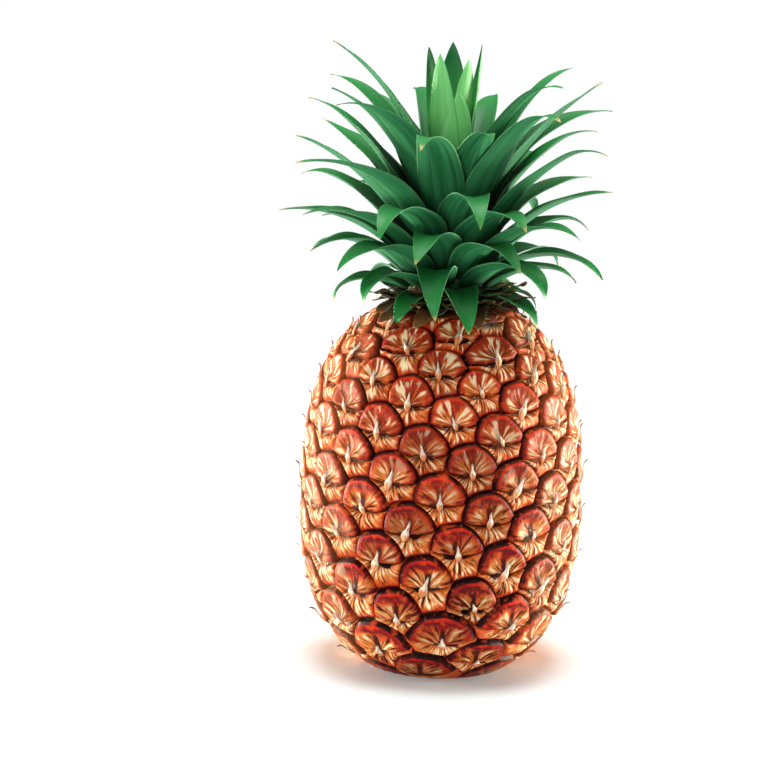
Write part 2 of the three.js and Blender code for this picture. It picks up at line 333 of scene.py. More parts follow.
def eye_directions():
    """Where each eye lies on the ball, the lowest first."""
    number = np.arange(EYE_COUNT)
    x = (number + FIRST_EYE) / EYE_COUNT
    share = x + LOW_EYES_LARGER * x * (1 - x) ** LARGER_FADES
    stretch = np.interp(share * OUTLINE["area"][-1], OUTLINE["area"], OUTLINE["stretch"])
    angle = EYE_PHASE - number * GOLDEN_ANGLE
    girth = 1 / np.cosh(stretch)
    return np.column_stack([np.cos(angle) * girth, np.sin(angle) * girth, np.tanh(stretch)])


def on_rind(directions):
    """Points of the smooth rind for directions on the ball, with their outward normals."""
    angle = np.arctan2(directions[:, 1], directions[:, 0])
    stretch = np.arctanh(np.clip(directions[:, 2], -POLE_LIMIT, POLE_LIMIT))
    z, r, slope = (np.interp(stretch, OUTLINE["stretch"], OUTLINE[name]) for name in ("z", "r", "slope"))
    points = np.column_stack([r * np.cos(angle), r * np.sin(angle), z])
    flat = np.cos(slope)
    normals = np.column_stack([flat * np.cos(angle), flat * np.sin(angle), np.sin(slope)])
    return points, normals


def neighbours_of(directions):
    """For each eye, its neighbours in order round it."""
    hull = bmesh.new()
    for direction in directions:
        hull.verts.new(direction)
    hull.verts.index_update()
    bmesh.ops.convex_hull(hull, input=hull.verts)
    following = [{} for _ in directions]
    for face in hull.faces:
        a, b, c = (vert.index for vert in face.verts)
        if face.normal.dot(face.calc_center_median()) < 0:
            b, c = c, b
        following[a][b], following[b][c], following[c][a] = c, a, b
    hull.free()
    rings = []
    for step in following:
        ring = [next(iter(step))]
        while len(ring) < len(step):
            ring.append(step[ring[-1]])
        rings.append(ring)
    return rings


EYES = eye_directions()
RINGS = neighbours_of(EYES)
EYE_POINTS, EYE_NORMALS = on_rind(EYES)
print("eyes:", len(EYES), "with", round(np.mean([len(ring) for ring in RINGS]), 2), "neighbours each")

# %% [markdown]
# ## The net of eyes
# Each eye keeps a rather round arch above it, and its lower part runs down between the arches of the eyes
# below. So where eyes meet, the point belongs to the arch of the lowest of them. The groove between
# two eyes is one smooth arc through three such points, and both eyes share its points, which keeps
# the rind closed.
#
# A ledge runs across each eye, a little below its middle. Above it is the dome, the dried flower,
# built from rings of points that close in on the dome's middle. Below it is the seat of the bract,
# built from rows of points between the ledge and the groove. The net is still smooth here.

# %% Net of eyes
ARCH_SHARE = 0.56
ARCH_ROUNDNESS = 0.6
POINTS_PER_EDGE = 7
CORNER_LEVEL = -0.1
LEDGE_SAG = 0.11
DOME_MIDDLE = 0.22
DOME_RINGS = (1, 0.967, 0.93, 0.875, 0.79, 0.68, 0.55, 0.39, 0.2)
SEAT_ROWS = (0, 0.06, 0.14, 0.24, 0.36, 0.52, 0.7, 0.86, 0.95, 1)
DOME_PART = 0.75
SEAT_PART = 0.25
EYE_MAP_RADIUS = 2.5
FLAT_END = 1.5 * MM
FADE_AT_BASE = 12 * MM
FADE_AT_TOP = 4.5 * MM


def unit(vectors):
    """The same vectors at length one."""
    return vectors / np.linalg.norm(vectors, axis=-1, keepdims=True)


def arch_reach(points):
    """How far the arch over each eye stands from its middle, for eyes at these points."""
    gaps = [np.linalg.norm(points[ring] - points[eye], axis=1).mean() for eye, ring in enumerate(RINGS)]
    return ARCH_SHARE * np.array(gaps)


ARCH_REACH = arch_reach(EYES)
SIDEWAYS = unit(np.column_stack([-EYES[:, 1], EYES[:, 0], np.zeros(EYE_COUNT)]))
BALL_UPWARD = np.cross(EYES, SIDEWAYS)


def on_arch(point, low):
    """A point moved onto the arch over the lowest eye that it touches."""
    away = point - EYES[low]
    length = np.linalg.norm(away)
    reach = length + (ARCH_REACH[low] - length) * ARCH_ROUNDNESS
    return unit(EYES[low] + away * reach / length)


def meeting(*eyes):
    """The plain middle of eyes that meet."""
    return unit(EYES[sorted(eyes)].sum(axis=0))


def within_eye(eye, direction):
    """The sideways and upward place of a direction in an eye, in eye radii."""
    away = (direction - EYES[eye]) / ARCH_REACH[eye]
    return away @ SIDEWAYS[eye], away @ BALL_UPWARD[eye]


def out_of_eye(eye, x, y):
    """The direction at a sideways and upward place in an eye."""
    return unit(EYES[eye] + ARCH_REACH[eye] * (x * SIDEWAYS[eye] + y * BALL_UPWARD[eye]))


def smooth(share):
    """The same share with a soft start and a soft end."""
    return share**2 * (3 - 2 * share)


def relief_share(z):
    """The eyes flatten out towards the two flat ends."""
    below = np.clip((z - FLAT_END) / (FADE_AT_BASE - FLAT_END), 0, 1)
    above = np.clip((FRUIT_HEIGHT - z) / FADE_AT_TOP, 0, 1)
    return smooth(below) * smooth(above)


def ledge_end(places, side):
    """The point of a loop that lies nearest to the ends of the ledge, on one side of the eye."""
    on_side = [i for i, (x, y) in enumerate(places) if x * side > 0]
    return min(on_side, key=lambda i: abs(places[i][1] - CORNER_LEVEL))


# %% [markdown]
# The class adds one eye after another. It remembers each groove point by the eyes that meet there,
# so that the next eye finds it again.

# %% Points and faces of the net


class Net:
    """Points and faces of the net, with the groove points shared between eyes."""

    def __init__(self):
        self.directions, self.shares, self.seats = [], [], []
        self.faces, self.owners, self.measures = [], [], []
        self.corners, self.edges = {}, {}

    def add(self, direction, share=1.0, seat=0.0):
        """Adds a point and returns its number."""
        self.directions.append(direction)
        self.shares.append(share)
        self.seats.append(seat)
        return len(self.directions) - 1

    def corner(self, *eyes):
        """The point where three eyes meet."""
        key = tuple(sorted(eyes))
        if key not in self.corners:
            self.corners[key] = self.add(on_arch(meeting(*eyes), key[0]))
        return self.corners[key]

    def edge(self, eye, before, other, after):
        """The points of one edge of an eye, up to just before its next corner."""
        start, end = self.corner(eye, before, other), self.corner(eye, other, after)
        if (other, eye) in self.edges:
            return [start, *reversed(self.edges[other, eye])]
        middle = unit(meeting(eye, before, other) + meeting(eye, other, after))
        middle = on_arch(middle, min(eye, other))
        a, c = self.directions[start], self.directions[end]
        pull = 2 * middle - (a + c) / 2
        inner = []
        for step in range(1, POINTS_PER_EDGE):
            t = step / POINTS_PER_EDGE
            inner.append(self.add(unit((1 - t) ** 2 * a + 2 * t * (1 - t) * pull + t * t * c)))
        self.edges[eye, other] = inner
        return [start, *inner]

    def groove(self, eye):
        """The loop of points round an eye, from its right end over the top."""
        ring, loop = RINGS[eye], []
        for i, before in enumerate(ring):
            loop += self.edge(eye, before, ring[(i + 1) % len(ring)], ring[(i + 2) % len(ring)])
        places = [within_eye(eye, self.directions[number]) for number in loop]
        right, left = ledge_end(places, 1), ledge_end(places, -1)
        loop = loop[right:] + loop[:right]
        left = (left - right) % len(loop)
        return loop[: left + 1], loop[left:] + loop[:1]

    def ledge(self, eye, lower):
        """The ledge from the left end to the right end of an eye, with a point for each below."""
        (ax, ay), (bx, by) = (within_eye(eye, self.directions[lower[i]]) for i in (0, -1))
        inner = []
        for j in range(1, len(lower) - 1):
            u = j / (len(lower) - 1)
            sag = LEDGE_SAG * 4 * u * (1 - u)
            inner.append(self.add(out_of_eye(eye, ax + (bx - ax) * u, ay + (by - ay) * u - sag)))
        return [lower[0], *inner, lower[-1]]

    def face(self, eye, part, corners, measures):
        """Adds a face and leaves out a corner that it would have twice."""
        kept = [i for i, corner in enumerate(corners) if corner not in corners[:i]]
        self.faces.append([corners[i] for i in kept])
        self.measures += [(measures[i], part) for i in kept]
        self.owners.append(eye)

    def dome(self, eye, loop):
        """Rings of faces from the edge of the dome to its middle."""
        middle = out_of_eye(eye, 0, DOME_MIDDLE)
        edge = np.array([self.directions[number] for number in loop])
        outer = loop
        for share, inside in zip(DOME_RINGS, DOME_RINGS[1:]):
            inner = [self.add(point, inside) for point in unit(middle + (edge - middle) * inside)]
            for i in range(len(loop)):
                j = (i + 1) % len(loop)
                corners = (outer[i], outer[j], inner[j], inner[i])
                self.face(eye, DOME_PART, corners, (share, share, inside, inside))
            outer = inner
        top = self.add(middle, 0.0)
        for i in range(len(loop)):
            j = (i + 1) % len(loop)
            self.face(eye, DOME_PART, (outer[i], outer[j], top), (DOME_RINGS[-1], DOME_RINGS[-1], 0.0))

    def seat(self, eye, ledge, lower):
        """Rows of faces from the ledge down to the groove."""
        rows = [ledge]
        for share in SEAT_ROWS[1:-1]:
            row = [lower[0]]
            for a, b in zip(ledge[1:-1], lower[1:-1]):
                point = unit(self.directions[a] * (1 - share) + self.directions[b] * share)
                row.append(self.add(point, share, 1.0))
            rows.append([*row, lower[-1]])
        rows.append(lower)
        for k, (upper_row, lower_row) in enumerate(zip(rows, rows[1:])):
            high, low = SEAT_ROWS[k], SEAT_ROWS[k + 1]
            for j in range(len(lower) - 1):
                corners = (upper_row[j], lower_row[j], lower_row[j + 1], upper_row[j + 1])
                self.face(eye, SEAT_PART, corners, (high, low, low, high))

    def eye(self, eye):
        """Adds the dome and the seat of one eye."""
        upper, lower = self.groove(eye)
        ledge = self.ledge(eye, lower)
        self.dome(eye, upper + ledge[1:-1])
        self.seat(eye, ledge, lower)


# %% [markdown]
# Now the net is laid on the outline. Two maps and a few numbers are stored on it for the recipes
# that follow.

# %% Net on the fruit
UPWARD = np.cross(EYE_NORMALS, SIDEWAYS)
EYE_RADII = arch_reach(EYE_POINTS)
TONE_SEED = 7
TONES = np.random.default_rng(TONE_SEED).random(EYE_COUNT)


def store(mesh, name, values, kind="FLOAT", domain="POINT"):
    """Keeps a list of numbers on a mesh under a name."""
    slot = {"FLOAT": "value", "FLOAT_VECTOR": "vector"}[kind]
    mesh.attributes.new(name, kind, domain).data.foreach_set(slot, np.asarray(values, float).ravel())


def build_net():
    """The smooth net as a mesh with its numbers stored on it."""
    net = Net()
    for eye in range(EYE_COUNT):
        net.eye(eye)
    points, normals = on_rind(np.array(net.directions))
    mesh = bpy.data.meshes.new("rind")
    mesh.from_pydata(points, [], net.faces)
    store(mesh, "share", net.shares)
    store(mesh, "seat", net.seats)
    store(mesh, "relief", relief_share(points[:, 2]))
    store(mesh, "way_out", normals, "FLOAT_VECTOR")
    store(mesh, "eye_tone", TONES[net.owners], domain="FACE")
    owner = np.repeat(net.owners, [len(face) for face in net.faces])
    away = points[np.concatenate(net.faces)] - EYE_POINTS[owner]
    reach = 2 * EYE_MAP_RADIUS * EYE_RADII[owner]
    across = (away * SIDEWAYS[owner]).sum(axis=1) / reach
    up = (away * UPWARD[owner]).sum(axis=1) / reach
    mesh.uv_layers.new(name="EyeMap").data.foreach_set("uv", np.column_stack([across, up]).ravel() + 0.5)
    mesh.uv_layers.new(name="EyeParts").data.foreach_set("uv", np.array(net.measures).ravel())
    return mesh


rind_net = build_net()
print("net:", len(rind_net.vertices), "points,", len(rind_net.polygons), "faces")

# %% [markdown]
# ## Raising the eyes
# A geometry tree turns the net into relief. Two curve nodes hold the two slopes of an eye. The dome
# has a steep wall out of the groove, a round shoulder and a hollow in its middle. The seat of the
# bract rises out of the ledge and then falls slowly to the groove below. A little noise keeps the
# surface from looking machined.

# %% Tree for the relief


def new_tree(name, sockets):
    """A geometry tree with these named inputs and a material."""
    tree = bpy.data.node_groups.new(name, "GeometryNodeTree")
    face = tree.interface
    face.new_socket("Geometry", in_out="INPUT", socket_type="NodeSocketGeometry")
    face.new_socket("Geometry", in_out="OUTPUT", socket_type="NodeSocketGeometry")
    for label, kind in {**sockets, "Material": "Material"}.items():
        face.new_socket(label, in_out="INPUT", socket_type="NodeSocket" + kind)
    return tree, put(tree, "NodeGroupInput").outputs


def finish_tree(tree, geometry, material):
    """Realizes what was placed, gives it its material and ends the tree."""
    real = put(tree, "GeometryNodeRealizeInstances", {"Geometry": geometry})
    smooth = put(tree, "GeometryNodeSetShadeSmooth", {"Geometry": real.outputs[0]})
    painted = put(tree, "GeometryNodeSetMaterial", {"Geometry": smooth.outputs[0], "Material": material})
    put(tree, "NodeGroupOutput", {"Geometry": painted.outputs[0]})


def grow(name, mesh, tree, values):
    """Runs a tree on a mesh and returns the result as a plain object at the origin."""
    source = add_object(name + "_source", mesh)
    modifier = source.modifiers.new("grow", "NODES")
    modifier.node_group = tree
    for item in tree.interface.items_tree:
        if item.in_out == "INPUT" and item.name in values:
            modifier[item.identifier] = values[item.name]
    grown = evaluated(source)
    bpy.data.objects.remove(source)
    grown.name = name
    triangles = sum(len(face.vertices) - 2 for face in grown.polygons)
    print(name + ":", len(grown.vertices), "points,", triangles, "triangles")
    return add_object(name, grown)


def slope_curve(value, stops):
    """A smooth curve through a few stops."""
    node = put(home(value), "ShaderNodeFloatCurve", {"Value": value})
    points = node.mapping.curves[0].points
    while len(points) < len(stops):
        points.new(0.5, 0.5)
    for point, stop in zip(points, stops):
        point.location = stop
    node.mapping.update()
    return node.outputs[0]


def named(tree, name, kind="FLOAT"):
    """A stored number, read back in a geometry tree."""
    return take(tree, "GeometryNodeInputNamedAttribute", {"Name": name}, data_type=kind)


DOME = (
    (0, 0.6), (0.25, 0.63), (0.42, 0.76), (0.58, 0.95), (0.7, 1.0),
    (0.82, 0.96), (0.92, 0.72), (0.975, 0.25), (1, 0),
)
SEAT = (
    (0, 0), (0.06, 0.08), (0.16, 0.36), (0.3, 0.66), (0.45, 0.78),
    (0.65, 0.7), (0.85, 0.4), (0.95, 0.14), (1, 0),
)
NOISE_SCALES = {"Wrinkles": 420.0, "Dents": 150.0}


def relief_tree():
    """Lifts the net by the height of the eye at each point, and trims it to the two flat ends."""
    sockets = {"Rise": "Float", "Wrinkles": "Float", "Dents": "Float", "Top": "Float"}
    tree, inputs = new_tree("eye_relief", sockets)
    share = named(tree, "share")
    slopes = {"A": slope_curve(share, DOME), "B": slope_curve(share, SEAT)}
    height = take(tree, "ShaderNodeMix", {"Factor": named(tree, "seat"), **slopes})
    lift = times(minus(height, 1.0), inputs["Rise"])
    place = take(tree, "GeometryNodeInputPosition")
    for label, scale in NOISE_SCALES.items():
        lift = wander(lift, noise(place, scale), inputs[label])
    offset = scaled(named(tree, "way_out", "FLOAT_VECTOR"), times(lift, named(tree, "relief")))
    lifted = put(tree, "GeometryNodeSetPosition", {"Geometry": inputs["Geometry"], "Offset": offset})
    x, y, z = axes(place)
    trimmed = vector(x, y, calc("MINIMUM", calc("MAXIMUM", z, 0.0), inputs["Top"]))
    flat = put(tree, "GeometryNodeSetPosition", {"Geometry": lifted.outputs[0], "Position": trimmed})
    finish_tree(tree, flat.outputs[0], inputs["Material"])
    return tree


# %% [markdown]
# ## Helpers for finishes
# A finish reads a place or a stored number, turns it into colours, and ends in the colour and the
# bumps of the shader.

# %% Shader helpers


def read(tree, name):
    """A stored number, read back in a material."""
    return put(tree, "ShaderNodeAttribute", attribute_name=name).outputs["Fac"]


def tint(factor, first, second, style="MIX"):
    """Mixes two colours by a factor."""
    inputs = {0: factor, 6: first, 7: second}
    options = {"data_type": "RGBA", "blend_type": style, "clamp_factor": True}
    return put(home(factor, first, second), "ShaderNodeMix", inputs, **options).outputs[2]


def ramp(value, stops):
    """A row of colours along a value."""
    node = put(home(value), "ShaderNodeValToRGB", {"Fac": value})
    elements = node.color_ramp.elements
    while len(elements) < len(stops):
        elements.new(0.5)
    for element, (place, color) in zip(elements, stops):
        element.position = place
        element.color = color
    return node.outputs["Color"]


def object_place(tree):
    """Where a point is on the object, in metres."""
    return put(tree, "ShaderNodeTexCoord").outputs["Object"]


def finish_skin(tree, skin, color, height, strength, depth):
    """Gives the shader its colour and bumps as deep as this many millimetres."""
    inputs = {"Strength": strength, "Distance": depth * MM, "Height": height}
    tree.links.new(color, skin.inputs["Base Color"])
    tree.links.new(take(tree, "ShaderNodeBump", inputs), skin.inputs["Normal"])


# %% [markdown]
# ## The skin of the rind
# In each eye the colour follows the shape. The groove is painted nearly black as shade, and the shoulder
# is crimson, with a painted highlight along its ridge and painted shade inside it. The hollow inside it
# holds two ochre lobes with the bract's spine between them. Painted shadow darkens both sides of the
# ledge and the foot of the spine. Below it the seat is orange and tan, with cream streaks that fan out
# from the middle, and painted shadow under the ledge. The recipe reads two maps that are stored on the
# rind: where a point lies in its eye, and how near it is to the groove. Flecks and patches break all of
# it up. Eyes differ a little in tone, and the upper ones are more orange. Cream is painted on the two
# sides as light from the side, with some tan, and on the top partly as dry colour and partly as a
# highlight.

# %% Rind material
SHADOW_AND_FLECK_BLACK = linear(24, 4, 5)
DEEP_CRIMSON = linear(80, 4, 8)
CRIMSON = linear(146, 12, 12)
BRIGHT_CRIMSON = linear(190, 30, 12)
RED_ORANGE = linear(196, 66, 22)
ORANGE = linear(208, 94, 28)
OCHRE = linear(194, 110, 42)
CREAM = linear(240, 214, 168)
TAN = linear(208, 126, 64)
BROWN_LINE_AND_SHADOW = linear(62, 15, 9)
LOBE_MIDDLE = (0.34, 0.12)
LOBE_SIZE = (0.43, 0.43)
LEDGE_SHADOW_MIDDLE = (0.24, -0.2)
LEDGE_SHADOW_SIZE = (0.2, 0.12)
PATCH_SCALE = 170.0
FLECK_SCALE = 480.0
FINE_SCALE = 900.0
TONES_APART = 40.0
STREAK_DRIFT = 0.3
# ORANGE_HEIGHTS turn the upper eyes more orange. PALE_HEIGHTS, SIDE_LIMITS and SIDE_TAN place the cream
# and tan that are painted as light on the two sides and, partly, on the top.
ORANGE_HEIGHTS = (0.05, 0.15)
PALE_HEIGHTS = (0.08, 0.15)
SIDE_LIMITS = (0.55, 0.93)
SIDE_TAN = 0.25
RIPENESS = (0.76, 1.1)


def map_of(tree, name):
    """The two numbers of a stored map."""
    return axes(take(tree, "ShaderNodeUVMap", uv_map=name))[:2]


def place_in_eye(tree):
    """Sideways and upward places in the eye, in eye radii."""
    return [times(minus(value, 0.5), 2 * EYE_MAP_RADIUS) for value in map_of(tree, "EyeMap")]


def streaks(x, y, middle, tone, scale):
    """Random streaks that fan out from a point on the eye's middle line."""
    angle = calc("ARCTAN2", minus(y, middle), x)
    depth = plus(times(tone, TONES_APART), times(distance(x, y), STREAK_DRIFT))
    return noise(vector(calc("COSINE", angle), calc("SINE", angle), depth), scale, 4.0)


def spot(x, y, middle, size):
    """How far a place is from the middle of an oval, where 1 is its rim."""
    across = calc("DIVIDE", minus(x, middle[0]), size[0])
    up = calc("DIVIDE", minus(y, middle[1]), size[1])
    return distance(across, up)


def chance(tone, factor):
    """Another random number from 0 to 1 for each eye."""
    return calc("FRACT", times(tone, factor))


def ledge_shadow(x, y, patches):
    """Painted shadow at the ledge, on both sides of the spine."""
    width = calc("ABSOLUTE", x)
    return ease(wander(spot(width, y, LEDGE_SHADOW_MIDDLE, LEDGE_SHADOW_SIZE), patches, 3.2), 1.15, 0.6)


# %% [markdown]
# Each part of an eye has a row of colours, from the dome's middle to the groove or from the ledge
# to the groove, with painted highlight and painted shade in it. The lobes, the painted shadows and
# the streaks are painted over that row. A random number for each eye keeps two eyes from looking alike.

# %% Colours of one eye


def dome_color(x, y, share, tone, patches):
    """Crimson shoulder with a painted highlight and painted shade, ochre lobes and painted shadow beside
    the spine.
    """
    # The bright band from 0.77 to 0.83 is a painted highlight along the shoulder's ridge. The deep crimson
    # at 0.64 and 0.86 is painted shade inside the shoulder and at the groove's edge, and the black from
    # 0.89 is painted shade in the groove.
    stops = (
        (0, BRIGHT_CRIMSON),
        (0.5, CRIMSON),
        (0.64, DEEP_CRIMSON),
        (0.7, CRIMSON),
        (0.77, BRIGHT_CRIMSON),
        (0.83, BRIGHT_CRIMSON),
        (0.86, DEEP_CRIMSON),
        (0.89, SHADOW_AND_FLECK_BLACK),
    )
    # Towards the top of the arch the share is raised, which widens the painted groove shadow there.
    color = ramp(plus(share, ease(y, 0.3, 0.9, 0.0, 0.02)), stops)
    lines = streaks(x, y, -0.15, tone, 4.2)
    width = calc("ABSOLUTE", wander(x, chance(tone, 7.3), 0.2))
    from_lobe = wander(wander(spot(width, y, LOBE_MIDDLE, LOBE_SIZE), lines, 1.4), patches, 1.5)
    lobes = ease(from_lobe, 1.15, 0.8, 0.0, ease(chance(tone, 13.7), 0.0, 1.0, 0.5, 1.0))
    ochre = tint(ease(from_lobe, 0.9, 0.5), RED_ORANGE, OCHRE)
    # The cream streaks in the lobes are partly pale colour and partly a painted highlight.
    shine = times(ease(lines, 0.5, 0.62), ease(from_lobe, 0.9, 0.4))
    ochre = tint(shine, ochre, CREAM)
    ochre = tint(ease(lines, 0.48, 0.38), ochre, DEEP_CRIMSON)
    color = tint(ease(patches, 0.56, 0.68, 0.0, 0.7), color, RED_ORANGE)
    # A darker ring of painted shade goes round the lobes.
    color = tint(ease(from_lobe, 1.6, 1.15, 0.0, 0.6), color, DEEP_CRIMSON)
    color = tint(lobes, color, ochre)
    # Painted brown shadow of the spine, along its foot on the dome.
    spine_shadow = times(ease(wander(width, patches, 0.2), 0.12, 0.05), ease(y, 0.5, 0.3))
    return tint(times(spine_shadow, ease(y, -0.3, -0.1)), color, BROWN_LINE_AND_SHADOW), lines


def seat_color(x, y, share, tone):
    """Orange and tan, streaked with cream in the middle, redder to the sides, with painted shadow under
    the ledge and in the groove.
    """
    # The black and brown at the ledge end are painted shadow under the ledge, and the black at the groove
    # end is painted shade in the groove.
    stops = (
        (0, SHADOW_AND_FLECK_BLACK),
        (0.07, BROWN_LINE_AND_SHADOW),
        (0.17, ORANGE),
        (0.4, TAN),
        (0.65, ORANGE),
        (0.86, RED_ORANGE),
        (0.94, CRIMSON),
        (0.975, SHADOW_AND_FLECK_BLACK),
    )
    color = ramp(share, stops)
    lines = streaks(x, y, -0.08, tone, 6.5)
    width = calc("ABSOLUTE", x)
    shown = times(ease(share, 0.1, 0.25), ease(share, 0.95, 0.7))
    fan = times(shown, ease(width, 0.75, 0.35, 0.3, 1.0))
    color = tint(times(ease(lines, 0.52, 0.62), fan), color, CREAM)
    color = tint(times(ease(lines, 0.48, 0.4), fan), color, BROWN_LINE_AND_SHADOW)
    side = ease(width, 0.6, 0.95, 0.0, 0.8)
    return tint(times(side, shown), color, RED_ORANGE), lines


# %% [markdown]
# The finish joins dome and seat, then adds the painted ledge shadows, the flecks, the cream and tan of
# the top and the sides, painted as light on the sides and partly on the top, and the ripeness of each eye.
# The same streaks also raise the surface a little.

# %% Finish of the rind


def orange_top_and_painted_pale(color, place, worn, lines):
    """Adds orange to the upper eyes, cream streaks to the top as dry colour and partly a painted
    highlight, and tan and cream to the two sides as painted light.
    """
    across, deep, high = axes(place)
    # The sides that face along x are painted paler, with tan and cream, as light from the side.
    side = ease(calc("DIVIDE", calc("ABSOLUTE", across), distance(across, deep)), *SIDE_LIMITS)
    color = tint(times(side, SIDE_TAN), color, TAN)
    orange = times(ease(high, *ORANGE_HEIGHTS, 0.0, 0.3), ease(worn, 0.97, 0.85))
    color = tint(orange, color, RED_ORANGE)
    # Cream streaks on the top are partly dry colour and partly a painted highlight; on the sides they are
    # painted light.
    painted_light_pale = times(calc("MAXIMUM", ease(high, *PALE_HEIGHTS, 0.0, 0.85), side), ease(worn, 0.82, 0.65))
    return tint(times(painted_light_pale, ease(lines, 0.51, 0.6)), color, CREAM)


def rind_material():
    """Waxy skin that follows the parts of every eye."""
    material, tree, skin = new_material("rind_skin", Specular_IOR_Level=0.1)
    place = object_place(tree)
    x, y = place_in_eye(tree)
    share, part = map_of(tree, "EyeParts")
    tone = read(tree, "eye_tone")
    patches = noise(place, PATCH_SCALE)
    worn = wander(share, patches, 0.12)
    dome, dome_lines = dome_color(x, y, worn, tone, patches)
    seat, seat_lines = seat_color(x, y, worn, tone)
    on_dome = calc("GREATER_THAN", part, (DOME_PART + SEAT_PART) / 2)
    # Painted shadow at the ledge, in black, over dome and seat.
    color = tint(ledge_shadow(x, y, patches), tint(on_dome, seat, dome), SHADOW_AND_FLECK_BLACK)
    flecks = noise(place, FLECK_SCALE, 2.0)
    color = tint(ease(flecks, 0.6, 0.74, 0.0, 0.35), color, ORANGE)
    color = tint(ease(flecks, 0.36, 0.28, 0.0, 0.7), color, SHADOW_AND_FLECK_BLACK)
    lines = take(tree, "ShaderNodeMix", {"Factor": on_dome, "A": seat_lines, "B": dome_lines})
    ripeness = ease(tone, 0.0, 1.0, *RIPENESS)
    grey = vector(ripeness, ripeness, ripeness)
    color = tint(1.0, orange_top_and_painted_pale(color, place, worn, lines), grey, "MULTIPLY")
    height = plus(times(lines, 1.2), noise(place, FINE_SCALE, 4.0))
    finish_skin(tree, skin, color, height, 0.7, 0.5)
    tree.links.new(ease(patches, 0.3, 0.7, 0.42, 0.64), skin.inputs["Roughness"])
    return material


EYE_RISE = 3.4 * MM
WRINKLES = 0.6 * MM
DENTS = 1.6 * MM
relief = {"Rise": EYE_RISE, "Wrinkles": WRINKLES, "Dents": DENTS, "Top": FRUIT_HEIGHT}
rind = grow("rind", rind_net, relief_tree(), {**relief, "Material": rind_material()})

# %% [markdown]
# ## The socket for the stalk
# The fruit is hollowed a little where the cut stalk sits. A round plug is cut out of the base with
# a boolean, which leaves a clean wall and the same small gap round the stalk as the solids have.

# %% Socket in the base
STALK_RADIUS = 12.5 * MM
STALK_DEPTH = 9 * MM
STALK_GAP = 0.4 * MM
PLUG_BELOW = 5 * MM
PLUG_SIDES = 48


def cut_socket(piece):
    """Cuts the stalk's socket out of the base."""
    shape = bmesh.new()
    low, high = -PLUG_BELOW, STALK_DEPTH + STALK_GAP
    radius = STALK_RADIUS + STALK_GAP
    middle = Matrix.Translation((0, 0, (low + high) / 2))
    size = {"radius1": radius, "radius2": radius, "depth": high - low}
    bmesh.ops.create_cone(shape, cap_ends=True, segments=PLUG_SIDES, matrix=middle, **size)
    plug = add_object("plug", mesh_of(shape, "plug"))
    cut = piece.modifiers.new("socket", "BOOLEAN")
    cut.object, cut.operation, cut.solver = plug, "DIFFERENCE", "MANIFOLD"
    result = evaluated(piece)
    piece.modifiers.remove(cut)
    piece.data = result
    bpy.data.objects.remove(plug)
    print("rind after the socket:", len(result.polygons), "faces")


cut_socket(rind)
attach(rind, "root")
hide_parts("fruit")

# %% [markdown]
# ## The bracts
# Every eye grew from a flower in the elbow of a small leaf, and that leaf is still there: a dry
# papery bract that is fused to its seat, bridges the ledge and ends in a thin spine over the dome.
# One small bract of a few dozen faces is made from listed rows, and a geometry tree sets it on every
# eye, turned to the rind and a little different each time.

# %% One bract
BRACT_ROWS = (
    (-0.52, 0.04, -0.14),
    (-0.38, 0.11, -0.06),
    (-0.25, 0.15, 0.0),
    (-0.13, 0.13, 0.05),
    (-0.02, 0.08, 0.08),
    (0.1, 0.052, 0.09),
    (0.24, 0.042, 0.11),
    (0.35, 0.034, 0.17),
    (0.42, 0.012, 0.26),
)
BRACT_COLUMNS = (-1, 0, 1)
BRACT_RIDGE = 0.05
BRACT_THICKNESS = 0.03


def bract_mesh():
    """A thin closed flap with a ridge down its middle, measured in eye radii."""
    shape = bmesh.new()
    grid, drops = {}, (0.0, BRACT_THICKNESS)
    for layer, drop in enumerate(drops):
        for j, (up, half, out) in enumerate(BRACT_ROWS):
            for i, column in enumerate(BRACT_COLUMNS):
                ridge = BRACT_RIDGE * (1 - abs(column))
                grid[layer, i, j] = shape.verts.new((half * column, up, out + ridge - drop))
    columns, rows = len(BRACT_COLUMNS) - 1, len(BRACT_ROWS) - 1
    for i in range(columns):
        for j in range(rows):
            corners = [(i, j), (i + 1, j), (i + 1, j + 1), (i, j + 1)]
            shape.faces.new([grid[0, a, b] for a, b in corners])
            shape.faces.new([grid[1, a, b] for a, b in reversed(corners)])
    rim = [(i, 0) for i in range(columns)] + [(columns, j) for j in range(rows)]
    rim += [(i, rows) for i in range(columns, 0, -1)] + [(0, j) for j in range(rows, 0, -1)]
    for (a, b), (c, d) in zip(rim, rim[1:] + rim[:1]):
        shape.faces.new([grid[0, c, d], grid[0, a, b], grid[1, a, b], grid[1, c, d]])
    mesh = mesh_of(shape, "bract")
    store(mesh, "bract_column", list(BRACT_COLUMNS) * len(BRACT_ROWS) * len(drops))
    shares = [j / rows for j in range(rows + 1) for _ in BRACT_COLUMNS]
    store(mesh, "bract_row", shares * len(drops))
    return mesh


# %% [markdown]
# The dry bract is tan at its foot and has fine cream ribs that run up to the tip. Its narrow part is
# pale and papery, and it ends in a dark brown point.

# %% Bract material
PAPER = linear(226, 204, 188)
SPINE_BROWN = linear(84, 26, 18)
RUST = linear(150, 70, 44)
MOTTLE_SCALE = 600.0


